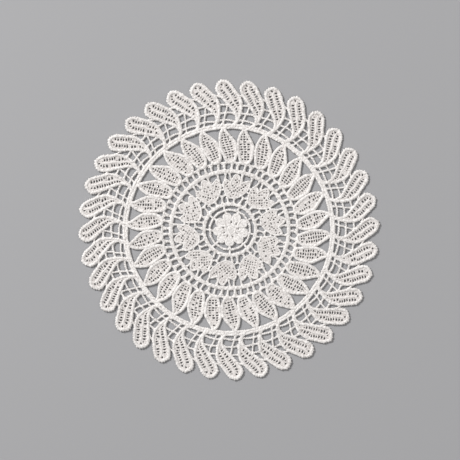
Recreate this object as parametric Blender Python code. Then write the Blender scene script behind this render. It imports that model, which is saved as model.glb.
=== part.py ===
"""Round lace doily, 200 mm across, lying flat.

One machine-embroidered guipure piece: three satin-stitched ring bands around a
nine-petalled flower, ten lobed leaves, thirty pointed leaves and an edge of
thirty-six curved paddles, all held together by thread bars.  The solid is the
flat lace sheet with its outer form and its largest gaps; the origin is the
middle of the underside, +Z is up.
"""
import bpy
import bmesh
from math import cos, sin, pi, radians

# ---------------------------------------------------------------- dimensions
DIAMETER = 0.2003            # over the paddle tips, metres
STITCH = DIAMETER / 300.5    # 0.667 mm: the tables below count in this unit
THICKNESS = 0.0014           # the lace lying flat, metres

PADDLES = 36                 # along the edge
LEAVES = 30                  # pointed leaves inside the outer ring
MOTIFS = 10                  # lobed leaves around the middle
PADDLE_START = 2.4           # direction of the first paddle, degrees
LEAF_START = 0.0
MOTIF_START = 0.0

RING_0 = 19.8                # thin cord around the flower: middle radius, width
RING_0_WIDTH = 1.9
RING_1_INNER = 24.0          # inner ring band, inner edge

# Unevenness of the laid lace: each zone is shifted and stretched a little.
# zone radius, then the part of the displacement that goes round the doily in
# "order" waves: outward (out_c cos + out_s sin) and sideways (side_c, side_s).
# Order 1 is a plain shift (x, y) of the zone.
UNEVEN = (
    # radius, order, out_c, out_s, side_c, side_s
    (44.0, 1, 0.62, 0.10, 0.0, 0.0),
    (44.0, 2, 0.31, 0.06, -0.02, -0.15),
    (85.0, 1, 0.36, 0.16, 0.0, 0.0),
    (85.0, 2, 0.07, -0.11, -0.18, -0.42),
    (85.0, 4, 0.16, 0.02, 0.04, 0.0),
    (128.0, 1, -0.15, 0.10, 0.0, 0.0),
    (128.0, 2, 0.04, -0.36, -0.47, -0.85),
    (128.0, 3, -0.31, 0.04, 0.02, 0.09),
    (128.0, 4, 0.27, 0.01, 0.07, 0.0),
    (128.0, 5, 0.06, -0.09, -0.02, -0.06),
)
ZONES = (44.0, 85.0, 128.0)

# One paddle's outer edge, from its bar to the next one: turn from the paddle's
# direction in degrees, radius in stitches.
PADDLE_EDGE = (
    # turn, radius
    (-7.00, 135.6),
    (-6.00, 137.9),
    (-5.00, 140.6),
    (-4.10, 143.5),
    (-3.20, 146.5),
    (-1.90, 149.1),
    (0.10, 150.5),
    (2.20, 147.5),
    (3.30, 142.2),
    (2.95, 138.5),
    (2.55, 136.0),
)

# The gaps of the lace, one row of corners for each kind: turn in degrees from
# the start of its repeat, radius in stitches.
PADDLE_WEDGE = (             # under the bar between two paddles
    # turn, radius
    (2.20, 134.2),
    (0.95, 130.6),
    (-0.90, 126.8),
    (1.35, 126.1),
    (1.90, 130.3),
)
PADDLE_WINDOW = (            # beside the stem of a paddle
    # turn, radius
    (-5.00, 114.6),
    (-4.00, 115.5),
    (-1.50, 115.6),
    (-0.85, 111.0),
    (-5.00, 109.9),
)
LEAF_GAP = (                 # triangle between two leaf tips and the outer ring
    # turn, radius
    (-1.55, 100.7),
    (-0.20, 97.8),
    (0.65, 92.6),
    (1.15, 88.2),
    (2.60, 91.0),
    (5.40, 95.6),
    (8.50, 100.7),
    (3.50, 100.8),
)
LEAF_FOOT_GAP = (            # small triangle where two leaf bases part
    # turn, radius
    (-0.45, 75.1),
    (1.45, 68.6),
    (-0.60, 68.2),
    (-2.75, 69.3),
)
EYELET = (                   # dome-shaped eyelet under each leaf base
    # turn, radius
    (5.40, 62.6),
    (6.10, 65.2),
    (7.50, 66.6),
    (9.10, 65.5),
    (9.30, 62.6),
    (8.70, 61.0),
    (5.90, 61.0),
)
MOTIF_GAPS = (               # gaps around one lobed leaf
    ((-4.8, 56.6), (1.8, 56.7), (3.6, 55.2), (3.6, 49.6), (-0.6, 51.6), (-3.2, 53.5)),
    ((19.7, 56.6), (21.4, 56.6), (21.0, 52.6), (17.1, 49.5)),
    ((24.4, 56.5), (28.0, 56.5), (29.3, 51.4), (28.4, 47.6), (27.4, 47.6), (24.0, 50.7)),
    ((26.4, 39.2), (29.2, 39.6), (32.4, 35.6), (30.4, 34.8), (26.6, 36.9)),
    ((-2.4, 32.9), (1.2, 33.5), (7.4, 31.6), (7.4, 28.5), (1.0, 28.2)),
    ((23.2, 31.9), (25.2, 33.8), (28.0, 32.3), (30.4, 28.3), (26.0, 28.3)),
)
# The middle: where each spoke stands, and the notch between its petal and the
# next one.
FLOWER = (
    # spoke_deg, notch_deg, notch_radius
    (28.7, 40.0, 14.6),
    (67.7, 80.0, 14.0),
    (104.5, 121.5, 13.3),
    (144.6, 165.0, 13.7),
    (179.5, 207.0, 14.2),
    (224.5, 247.5, 13.4),
    (270.0, 291.0, 13.8),
    (313.5, 329.0, 14.8),
    (349.0, 363.5, 15.0),
)
SPOKE_HALF = 2.3             # half of a spoke's width, degrees


# ------------------------------------------------------------------- laying
def uneven(turn, radius):
    """Place of a point of the lace, in stitches, with the laid unevenness."""
    weights = []
    if radius <= ZONES[0]:
        weights = [(ZONES[0], 1.0)]
    elif radius >= ZONES[-1]:
        weights = [(ZONES[-1], 1.0)]
    else:
        for low, high in zip(ZONES, ZONES[1:]):
            if low <= radius <= high:
                share = (radius - low) / (high - low)
                weights = [(low, 1.0 - share), (high, share)]
    angle = radians(turn)
    x = radius * cos(angle)
    y = radius * sin(angle)
    for zone, weight in weights:
        calm = min(1.0, radius / ZONES[0])
        for row_zone, order, out_c, out_s, side_c, side_s in UNEVEN:
            if row_zone != zone:
                continue
            if order == 1:
                x += weight * out_c
                y += weight * out_s
                continue
            out = out_c * cos(order * angle) + out_s * sin(order * angle)
            side = side_c * cos(order * angle) + side_s * sin(order * angle)
            x += weight * calm * (out * cos(angle) - side * sin(angle))
            y += weight * calm * (out * sin(angle) + side * cos(angle))
    return x, y


def loop_of(corners, start):
    return [uneven(start + turn, radius) for turn, radius in corners]


def edge_loop():
    points = []
    for k in range(PADDLES):
        start = PADDLE_START - 360.0 / PADDLES * k
        points += reversed(loop_of(PADDLE_EDGE, start))
    return points


def gap_loops():
    loops = []
    for k in range(PADDLES):
        start = PADDLE_START + 360.0 / PADDLES * k
        loops.append(loop_of(PADDLE_WEDGE, start))
        loops.append(loop_of(PADDLE_WINDOW, start))
    for k in range(LEAVES):
        start = LEAF_START + 360.0 / LEAVES * k
        loops.append(loop_of(LEAF_GAP, start))
        loops.append(loop_of(LEAF_FOOT_GAP, start))
        loops.append(loop_of(EYELET, start))
    for k in range(MOTIFS):
        start = MOTIF_START + 360.0 / MOTIFS * k
        for corners in MOTIF_GAPS:
            loops.append(loop_of(corners, start))
    for k, (spoke, notch, notch_radius) in enumerate(FLOWER):
        after = FLOWER[(k + 1) % len(FLOWER)][0]
        if after < spoke:
            after += 360.0
        low, high = spoke + SPOKE_HALF, after - SPOKE_HALF
        inner = RING_0 + RING_0_WIDTH / 2
        arc = [(low + (high - low) * i / 3, RING_1_INNER) for i in range(4)]
        arc += [(high - (high - low) * i / 3, inner) for i in range(4)]
        loops.append(loop_of(arc, 0.0))
        rim = RING_0 - RING_0_WIDTH / 2
        crescent = [(low + 1.0 + (high - low - 2.0) * i / 3, rim) for i in range(4)]
        crescent += [(high - 1.0, rim - 1.1), (notch + 5.0, notch_radius + 1.3),
                     (notch, notch_radius), (notch - 5.0, notch_radius + 1.3),
                     (low + 1.0, rim - 1.1)]
        loops.append(loop_of(crescent, 0.0))
    return loops


# ----------------------------------------------------------------- building
def clear_scene():
    for item in list(bpy.data.objects):
        bpy.data.objects.remove(item, do_unlink=True)


def thread_material():
    material = bpy.data.materials.new("white_lace_thread")
    material.use_nodes = True
    shader = material.node_tree.nodes["Principled BSDF"]
    shader.inputs["Base Color"].default_value = (0.83, 0.79, 0.76, 1.0)
    shader.inputs["Roughness"].default_value = 0.75
    shader.inputs["Metallic"].default_value = 0.0
    return material


def build_doily():
    outer = edge_loop()
    loops = [outer] + gap_loops()
    # the doily's middle is the middle of its outline's box
    middle_x = (min(p[0] for p in outer) + max(p[0] for p in outer)) / 2
    middle_y = (min(p[1] for p in outer) + max(p[1] for p in outer)) / 2

    sheet = bmesh.new()
    edges = []
    for points in loops:
        ring = [sheet.verts.new(((x - middle_x) * STITCH, (y - middle_y) * STITCH, 0.0))
                for x, y in points]
        edges += [sheet.edges.new((ring[i], ring[(i + 1) % len(ring)]))
                  for i in range(len(ring))]
    bmesh.ops.triangle_fill(sheet, use_beauty=True, use_dissolve=False,
                            edges=edges, normal=(0.0, 0.0, 1.0))
    bmesh.ops.recalc_face_normals(sheet, faces=sheet.faces[:])
    if sum(face.normal.z for face in sheet.faces) > 0:
        bmesh.ops.reverse_faces(sheet, faces=sheet.faces[:])
    raised = bmesh.ops.extrude_face_region(sheet, geom=sheet.faces[:])
    top = [item for item in raised["geom"] if isinstance(item, bmesh.types.BMVert)]
    bmesh.ops.translate(sheet, vec=(0.0, 0.0, THICKNESS), verts=top)
    bmesh.ops.recalc_face_normals(sheet, faces=sheet.faces[:])

    mesh = bpy.data.meshes.new("lace_doily")
    sheet.to_mesh(mesh)
    sheet.free()
    mesh.materials.append(thread_material())
    doily = bpy.data.objects.new("lace_doily", mesh)
    bpy.context.scene.collection.objects.link(doily)
    return doily


clear_scene()
build_doily()
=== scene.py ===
"""Round guipure lace doily, lying flat, seen from straight above.

The lace is made the way the real one is stitched: a thin ground of close
stitches with small holes, satin-stitched cords over padding along every
outline, single strands that form the ladders inside leaves and paddles, and
thread bars that hold the motifs together.
"""

import bpy
import math
import numpy as np
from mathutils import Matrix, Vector
from mathutils.geometry import delaunay_2d_cdt


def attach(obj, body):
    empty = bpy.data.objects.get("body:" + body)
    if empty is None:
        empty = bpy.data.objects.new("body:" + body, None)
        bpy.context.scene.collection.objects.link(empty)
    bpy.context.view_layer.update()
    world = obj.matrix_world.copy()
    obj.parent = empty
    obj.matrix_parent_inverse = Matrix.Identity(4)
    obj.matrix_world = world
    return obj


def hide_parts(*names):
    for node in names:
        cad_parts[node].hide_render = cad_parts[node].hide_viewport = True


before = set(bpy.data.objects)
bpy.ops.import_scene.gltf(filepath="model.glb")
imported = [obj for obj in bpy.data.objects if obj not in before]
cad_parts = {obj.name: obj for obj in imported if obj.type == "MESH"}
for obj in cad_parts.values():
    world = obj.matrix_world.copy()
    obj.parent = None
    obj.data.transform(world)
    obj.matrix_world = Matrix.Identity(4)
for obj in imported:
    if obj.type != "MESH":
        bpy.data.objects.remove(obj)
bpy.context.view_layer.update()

# ---------------------------------------------------------------- dimensions
DIAMETER = 0.2003            # over the paddle tips, metres
STITCH = DIAMETER / 300.5    # the tables below count in this unit
PADDLES, LEAVES, MOTIFS = 36, 30, 10
PADDLE_START = 2.4           # degrees

SATIN_STEP = 0.00030         # half the pitch of the satin ridges, metres
STRAND_STEP = 0.00062
CORD_LEVEL = 0.00070         # height of the cords' middle over the table
SHEET_LEVEL = 0.00062
SHEET_HALF = 0.00024         # half thickness of the close-stitched ground

# Unevenness of the laid lace: each zone is shifted and stretched a little.
UNEVEN = (
    # radius, order, out_c, out_s, side_c, side_s
    (44.0, 1, 0.86, 0.06, 0.0, 0.0),
    (44.0, 2, 0.31, 0.06, -0.02, -0.15),
    (85.0, 0, -0.20, 0.0, -0.05, 0.0),
    (85.0, 1, 0.38, -0.07, 0.0, 0.0),
    (85.0, 2, 0.07, -0.11, -0.18, -0.42),
    (85.0, 4, 0.16, 0.02, 0.04, 0.0),
    (128.0, 0, -0.58, 0.0, -0.52, 0.0),
    (128.0, 1, -0.24, 0.02, 0.0, 0.0),
    (128.0, 2, 0.10, -0.46, -0.47, -1.05),
    (128.0, 3, -0.31, 0.04, 0.02, 0.09),
    (128.0, 4, 0.27, 0.01, 0.07, 0.0),
    (128.0, 5, 0.06, -0.09, -0.02, -0.06),
)
ZONES = (44.0, 85.0, 128.0)
PADDLE_EDGE = (              # the outline whose box gives the doily's middle
    # turn, radius
    (-7.00, 135.6), (-6.00, 137.9), (-5.00, 140.6), (-4.10, 143.5),
    (-3.20, 146.5), (-1.90, 149.1), (0.10, 150.5), (2.20, 147.5),
    (3.30, 142.2), (2.95, 138.5), (2.55, 136.0),
)

# Ring bands: inner and outer radius, ridge slant in stitches.
RING_BANDS = (
    # inner, outer, slant
    (101.3, 106.1, 0.9),
    (56.8, 60.65, 1.1),
    (23.95, 27.4, 1.3),
)

# One paddle: its outer edges, section by section from the outer ring to the tip.
PADDLE_STATIONS = (
    # left_turn, left_radius, right_turn, right_radius
    (-6.10, 102.6, -3.00, 102.6),
    (-6.60, 106.0, -3.60, 106.0),
    (-7.50, 109.5, -5.20, 109.0),
    (-8.00, 112.8, -5.30, 112.5),
    (-8.40, 116.5, -4.90, 115.6),
    (-8.65, 120.5, -4.10, 118.4),
    (-8.65, 124.5, -3.00, 120.8),
    (-8.40, 128.3, -1.70, 124.2),
    (-7.70, 132.3, -0.40, 127.6),
    (-6.60, 136.3, 0.75, 130.5),
    (-5.40, 139.6, 1.75, 133.2),
    (-4.40, 142.9, 2.60, 136.6),
    (-3.60, 145.4, 3.25, 140.5),
    (-2.60, 148.0, 3.20, 143.8),
    (-1.20, 149.9, 2.40, 147.0),
)
PADDLE_TIP = (0.65, 150.5)
PADDLE_CORD = 1.32           # half width of the cord, stitches
PADDLE_LADDERS = (           # the small holes along both sides of the padded rib
    # turn, radius, across, along, how often it is open
    (
        (0.45, 145.2, 1.9, 1.3, 0.85), (0.95, 142.6, 1.5, 1.1, 0.55),
        (0.60, 139.8, 2.1, 1.5, 0.95), (-0.10, 137.2, 2.3, 1.6, 0.95),
        (-0.75, 135.1, 2.2, 1.2, 0.80), (-1.30, 133.2, 2.4, 1.4, 0.95),
        (-1.95, 131.1, 2.5, 1.5, 0.95), (-2.60, 129.2, 1.8, 1.0, 0.40),
        (-3.15, 127.4, 2.1, 1.6, 0.95), (-4.15, 125.1, 2.2, 1.7, 0.95),
        (-5.00, 123.2, 1.6, 1.1, 0.50), (-5.80, 121.4, 2.1, 1.4, 0.85),
        (-6.35, 119.2, 2.1, 1.3, 0.75),
    ),
    (
        (-1.30, 144.7, 1.9, 1.4, 0.80), (-1.80, 142.3, 2.1, 1.5, 0.90),
        (-2.50, 140.1, 2.1, 1.5, 0.95), (-3.15, 138.0, 1.9, 1.2, 0.75),
        (-3.85, 136.1, 2.4, 1.6, 0.95), (-4.60, 134.4, 2.2, 1.4, 0.90),
        (-5.15, 132.7, 1.9, 1.2, 0.70), (-5.15, 129.6, 2.3, 1.6, 0.90),
        (-6.15, 127.3, 2.2, 1.6, 0.95), (-6.60, 124.6, 1.5, 1.0, 0.40),
    ),
)
PADDLE_DOTS = (              # the few holes in the rib
    # turn, radius, across, along, how often it is open
    (-1.30, 139.0, 1.2, 1.6, 0.70), (-3.10, 133.2, 1.2, 1.5, 0.45),
    (-0.60, 142.4, 0.9, 1.0, 0.25), (-4.20, 129.4, 0.9, 1.1, 0.35),
    (-2.05, 136.9, 1.1, 1.4, 0.45), (-3.95, 131.3, 1.1, 1.4, 0.40), (0.20, 141.0, 1.0, 1.1, 0.30),
)

# One pointed leaf: outer edge from the tip down its left side, round the base
# and up its right side.
LEAF_EDGE = (
    # turn, radius
    (7.90, 103.0), (7.75, 101.4), (7.30, 99.7), (5.95, 97.0), (4.40, 94.1),
    (2.44, 90.7), (1.16, 88.0), (0.44, 84.9), (-0.25, 79.0), (-0.45, 75.6),
    (-0.12, 72.2), (0.75, 69.4), (2.15, 67.4), (4.35, 66.4), (6.65, 66.4),
    (8.65, 67.6), (9.95, 70.6), (11.35, 75.4), (12.42, 80.0), (12.90, 85.0),
    (13.00, 89.5), (12.67, 92.4), (12.33, 95.0), (11.55, 98.5),
    (10.55, 101.2), (10.25, 103.0),
)
LEAF_TIP = (9.50, 101.0)
LEAF_BASE = (5.00, 68.0)
LEAF_CORD = 1.50
LEAF_ROW = 2.50              # pitch of the ladder's rungs, stitches
LEAF_HEIGHTS = (6.0, 12.0, 16.0, 20.0, 24.0, 29.0)   # along the leaf's axis
LEAF_COLUMNS = (             # the three rows of holes along a leaf
    # place across at those heights, then across, along, how often it is open
    ((-1.9, -2.0, -2.7, -3.1, -2.6, -2.0), 2.3, 1.6, 0.90),
    ((1.1, 1.3, 1.1, 0.7, 0.4, 0.3), 2.5, 1.75, 1.00),
    ((4.0, 4.4, 4.4, 4.3, 3.3, 2.6), 2.3, 1.6, 0.95),
    ((-0.5, -0.4, -0.8, -1.3, -1.1, -0.9), 1.2, 0.95, 0.42),
    ((2.5, 2.9, 2.8, 2.5, 1.9, 1.5), 1.2, 0.95, 0.42),
)
LEAF_RAILS = ((-0.6, -0.5, -0.9, -1.4, -1.2, -0.9), (2.6, 3.0, 2.9, 2.6, 2.0, 1.6))

# One lobed leaf: outer edge, anticlockwise seen from outside.
MOTIF_EDGE = (
    # turn, radius
    (3.30, 49.0), (1.4, 50.5), (-0.7, 51.6), (-2.6, 52.7), (-4.3, 53.0),
    (-5.8, 51.7), (-7.0, 49.4), (-7.7, 46.6), (-7.6, 43.6), (-6.9, 41.1), (-4.8, 38.6),
    (-2.0, 35.4), (1.6, 33.3), (6.0, 31.5), (10.8, 30.6), (16.4, 30.9),
    (22.0, 31.8), (24.6, 33.7), (26.0, 36.2), (27.0, 39.6), (27.5, 42.6),
    (27.3, 45.9), (26.4, 48.4), (24.5, 50.3), (22.2, 50.9), (19.4, 50.1),
    (17.0, 48.8), (15.9, 50.8), (14.8, 53.0), (13.4, 55.2), (11.6, 56.6),
    (9.6, 56.5), (7.5, 55.3), (5.9, 53.4), (4.5, 51.0),
)
MOTIF_CORD = 1.0
MOTIF_VEINS = (
    # half_width, points as turn, radius
    (0.80, ((4.2, 44.4), (4.6, 47.6), (5.6, 50.6), (7.0, 53.0), (8.8, 54.6), (11.0, 55.0),
            (12.8, 53.8), (14.4, 51.6), (15.7, 49.4), (16.6, 47.0), (16.8, 44.0))),
)
MOTIF_HOLES = (
    # turn, radius, length, width, how often it is open
    (0.4, 45.3, 2.0, 1.6, 0.95),
    (2.1, 43.9, 1.4, 1.1, 0.80),
    (3.3, 42.6, 1.5, 1.1, 0.80),
    (4.9, 40.5, 2.0, 1.6, 0.95),
    (7.4, 39.0, 1.5, 1.1, 0.70),
    (9.8, 40.6, 1.7, 1.3, 0.85),
    (12.9, 37.7, 2.0, 1.6, 0.90),
    (17.0, 37.9, 1.5, 1.2, 0.65),
    (13.5, 43.8, 1.8, 1.4, 0.90),
    (11.2, 44.9, 1.3, 1.0, 0.50),
    (8.0, 47.5, 1.9, 1.5, 0.95),
    (10.5, 49.4, 1.8, 1.3, 0.85),
    (9.6, 51.7, 1.3, 1.0, 0.40),
    (15.4, 46.4, 1.4, 1.1, 0.60),
    (19.6, 43.3, 2.0, 1.6, 0.85),
    (17.6, 41.4, 1.4, 1.1, 0.60),
    (21.9, 41.7, 1.4, 1.1, 0.55),
    (12.1, 40.9, 1.3, 1.0, 0.50),
    (-2.2, 46.8, 1.4, 1.1, 0.40),
    (23.2, 45.6, 1.4, 1.1, 0.45),
    (6.9, 43.9, 1.3, 1.0, 0.40),
    (5.4, 37.0, 1.3, 1.0, 0.30),
    (15.3, 39.7, 1.4, 1.1, 0.55),
    (20.2, 47.2, 1.2, 0.9, 0.30),
)
MOTIF_WEAVE = 2.55           # pitch of its fill, stitches
MOTIF_LEAN = -34.0           # direction of its threads, degrees

# The flower and its spokes.
FLOWER = (
    # spoke_deg, notch_deg, notch_radius
    (28.7, 40.0, 14.6), (67.7, 80.0, 14.0), (104.5, 121.5, 13.3),
    (144.6, 165.0, 13.7), (179.5, 207.0, 14.2), (224.5, 247.5, 13.4),
    (270.0, 291.0, 13.8), (313.5, 329.0, 14.8), (349.0, 363.5, 15.0),
)
FLOWER_AT = (0.6, 0.2)       # the middle of the flower, stitches
PETALS = (
    # direction, middle distance, size
    (104.0, 13.0, 1.00), (62.5, 13.4, 1.00), (25.5, 13.9, 1.02),
    (-13.8, 13.9, 1.00), (-50.0, 13.2, 1.00), (-94.0, 12.6, 1.02),
    (-134.0, 13.0, 1.00), (-172.5, 12.8, 1.04), (146.0, 12.8, 1.00),
)
PETAL = (                    # its outline: outward and sideways from its middle
    (-8.9, -1.6), (-5.9, -1.95), (-4.0, -3.3), (-1.4, -4.5), (0.9, -4.7), (3.0, -3.6),
    (4.3, -1.35), (4.35, 1.2), (3.1, 3.5), (0.9, 4.7), (-1.4, 4.5), (-4.0, 3.3),
    (-5.9, 1.95), (-8.9, 1.6),
)
PETAL_CORD = 1.3
FLOWER_DOTS = (
    # turn, radius, size
    (82.0, 7.5, 1.7), (41.0, 8.0, 2.0), (166.0, 7.4, 1.9), (207.0, 7.4, 2.0),
    (247.0, 7.4, 1.6), (5.0, 7.8, 1.2), (-72.0, 7.5, 1.2), (-32.0, 7.7, 1.0),
)

# Thread bars of one repeat: half width, waviness, then points as turn, radius.
PADDLE_BARS = (
    # half_width, wave, points
    (1.10, 0.0, ((0.9, 133.9), (2.6, 134.7), (4.3, 135.4))),
    (1.10, 0.30, ((-1.9, 126.1), (-0.8, 125.6), (0.5, 125.4), (2.2, 125.4))),
    (1.06, 0.42, ((-5.4, 117.4), (-3.2, 117.4), (-1.3, 117.4), (0.4, 117.2), (2.4, 117.0))),
    (1.06, 0.42, ((-6.0, 108.3), (-4.9, 109.0), (-2.6, 109.9), (-0.5, 110.2), (1.2, 110.2), (3.4, 110.4))),
    (1.10, 0.0, ((-2.2, 126.2), (-1.6, 123.6), (-1.1, 119.2), (-0.5, 115.3), (0.2, 110.9), (1.0, 104.8))),
)
PADDLE_KNOTS = ((-0.82, 117.3), (0.29, 110.2))   # where they cross: turn, radius
LEAF_BARS = (
    (1.35, 0.0, ((-4.2, 68.1), (-2.4, 67.4), (-0.4, 67.3), (1.4, 67.6), (3.0, 68.1))),
    (1.30, 0.0, ((-1.45, 59.4), (-1.15, 62.0), (-1.5, 64.4), (-2.2, 67.2))),
    (1.70, 0.0, ((-1.2, 61.4), (-1.15, 63.2), (-1.4, 65.0))),
    (1.36, 0.0, ((4.35, 59.4), (4.25, 62.0), (4.0, 65.0), (3.9, 67.4))),
    (1.20, 0.0, ((-2.2, 65.8), (-0.8, 65.9), (0.9, 66.4))),
)
MOTIF_BARS = (
    (1.18, 0.0, ((-4.9, 57.6), (-5.7, 54.4), (-5.2, 49.2))),
    (1.18, 0.0, ((4.6, 57.6), (4.9, 53.6), (4.2, 49.4))),
    (1.25, 0.0, ((18.8, 57.6), (17.4, 53.6), (15.9, 49.6))),
    (1.15, 0.0, ((22.3, 57.6), (22.5, 53.8), (23.2, 49.6))),
    (1.18, 0.0, ((-5.2, 35.2), (-3.9, 31.2), (-2.7, 26.4))),
    (1.14, 0.0, ((10.0, 32.2), (9.8, 29.3), (9.5, 26.4))),
    (1.10, 0.0, ((23.0, 33.0), (21.8, 29.6), (20.5, 26.4))),
    (1.15, 0.0, ((-13.4, 37.2), (-9.8, 35.0), (-5.4, 34.6), (-1.6, 35.6), (0.6, 37.4))),
    (1.50, 0.0, ((-11.4, 46.0), (-8.6, 45.4), (-5.8, 46.0))),
    (1.20, 0.0, ((-11.4, 41.3), (-8.8, 41.1), (-6.2, 41.0))),
)

rng = np.random.default_rng(11)


# ------------------------------------------------------------------- laying
def polar(points):
    """Points given as turn, radius, as x, y in stitches."""
    points = np.asarray(points, float)
    angle = np.radians(points[:, 0])
    return np.c_[points[:, 1] * np.cos(angle), points[:, 1] * np.sin(angle)]


def turned(xy, degrees):
    c, s = math.cos(math.radians(degrees)), math.sin(math.radians(degrees))
    return np.asarray(xy, float) @ np.array([[c, s], [-s, c]])


def uneven(xy):
    """The laid place of points of the lace, in stitches."""
    xy = np.asarray(xy, float)
    radius = np.hypot(xy[:, 0], xy[:, 1])
    angle = np.arctan2(xy[:, 1], xy[:, 0])
    inside = np.clip(radius, ZONES[0], ZONES[-1])
    calm = np.minimum(1.0, radius / ZONES[0])
    weight = {}
    weight[ZONES[0]] = np.clip((ZONES[1] - inside) / (ZONES[1] - ZONES[0]), 0, 1)
    weight[ZONES[2]] = np.clip((inside - ZONES[1]) / (ZONES[2] - ZONES[1]), 0, 1)
    weight[ZONES[1]] = 1 - weight[ZONES[0]] - weight[ZONES[2]]
    moved = xy.copy()
    cosine, sine = np.cos(angle), np.sin(angle)
    for zone, order, out_c, out_s, side_c, side_s in UNEVEN:
        if order == 1:
            moved[:, 0] += weight[zone] * out_c
            moved[:, 1] += weight[zone] * out_s
            continue
        out = out_c * np.cos(order * angle) + out_s * np.sin(order * angle)
        side = side_c * np.cos(order * angle) + side_s * np.sin(order * angle)
        moved[:, 0] += weight[zone] * calm * (out * cosine - side * sine)
        moved[:, 1] += weight[zone] * calm * (out * sine + side * cosine)
    return moved


outline = np.vstack([
    turned(polar(PADDLE_EDGE), PADDLE_START + 360 / PADDLES * k) for k in range(PADDLES)
])
outline = uneven(outline)
MIDDLE = (outline.min(0) + outline.max(0)) / 2


def laid(xy):
    """Metres in the row frame, from stitches."""
    return (uneven(xy) - MIDDLE) * STITCH


def swell(x, y):
    """How much the cloth lifts off the table there, in metres: it lies down almost flat."""
    wave = (np.sin(31 * x + 0.7) * np.sin(27 * y - 0.4)
            + 0.6 * np.sin(57 * x - 43 * y + 1.9) + 0.5 * np.sin(23 * x + 71 * y + 0.3))
    return 0.00016 * (wave + 2.1) / 2


# ------------------------------------------------------------------- curves
def curve(points, step, closed=False):
    """A smooth line through the points, with a point every step stitches."""
    p = np.asarray(points, float)
    if closed:
        q = np.vstack([p[-1], p, p[0], p[1]])
    else:
        q = np.vstack([2 * p[0] - p[1], p, 2 * p[-1] - p[-2]])
    t = np.linspace(0, 1, 20, endpoint=False)[:, None]
    runs = []
    for a, b, c, d in zip(q[:-3], q[1:-2], q[2:-1], q[3:]):
        runs.append(0.5 * (2 * b + (c - a) * t + (2 * a - 5 * b + 4 * c - d) * t**2
                           + (3 * b - a - 3 * c + d) * t**3))
    dense = np.vstack(runs + [q[-2][None]])
    return evenly(dense, step, closed)


def evenly(dense, step, closed=False):
    length = np.r_[0, np.cumsum(np.hypot(*np.diff(dense, axis=0).T))]
    count = max(2, int(round(length[-1] / step)))
    if closed:
        count += count % 2
    at = np.linspace(0, length[-1], count + 1)
    if closed:
        at = at[:-1]
    return np.c_[np.interp(at, length, dense[:, 0]), np.interp(at, length, dense[:, 1])]


def sideways(path, closed=False):
    """The unit vectors to the left of a path."""
    if closed:
        ahead = np.roll(path, -1, 0) - np.roll(path, 1, 0)
    else:
        ahead = np.gradient(path, axis=0)
    ahead /= np.maximum(np.hypot(ahead[:, 0], ahead[:, 1]), 1e-12)[:, None]
    return np.c_[-ahead[:, 1], ahead[:, 0]]


def inside(points, loop):
    """Which points lie inside a closed loop."""
    x, y = points[:, 0][:, None], points[:, 1][:, None]
    ax, ay = loop[:, 0][None], loop[:, 1][None]
    bx, by = np.roll(loop[:, 0], -1)[None], np.roll(loop[:, 1], -1)[None]
    crosses = (ay > y) != (by > y)
    with np.errstate(divide="ignore", invalid="ignore"):
        at = ax + (y - ay) * (bx - ax) / (by - ay)
    return (np.where(crosses, x < at, False).sum(1) % 2) == 1


def distance_to(points, starts, ends):
    """Each point's distance to the nearest of these short lines."""
    run = ends - starts
    size = np.maximum((run**2).sum(1), 1e-12)
    off = points[:, None] - starts[None]
    t = np.clip((off * run[None]).sum(2) / size, 0, 1)
    away = off - t[..., None] * run[None]
    return np.sqrt((away**2).sum(2)).min(1)


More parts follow.
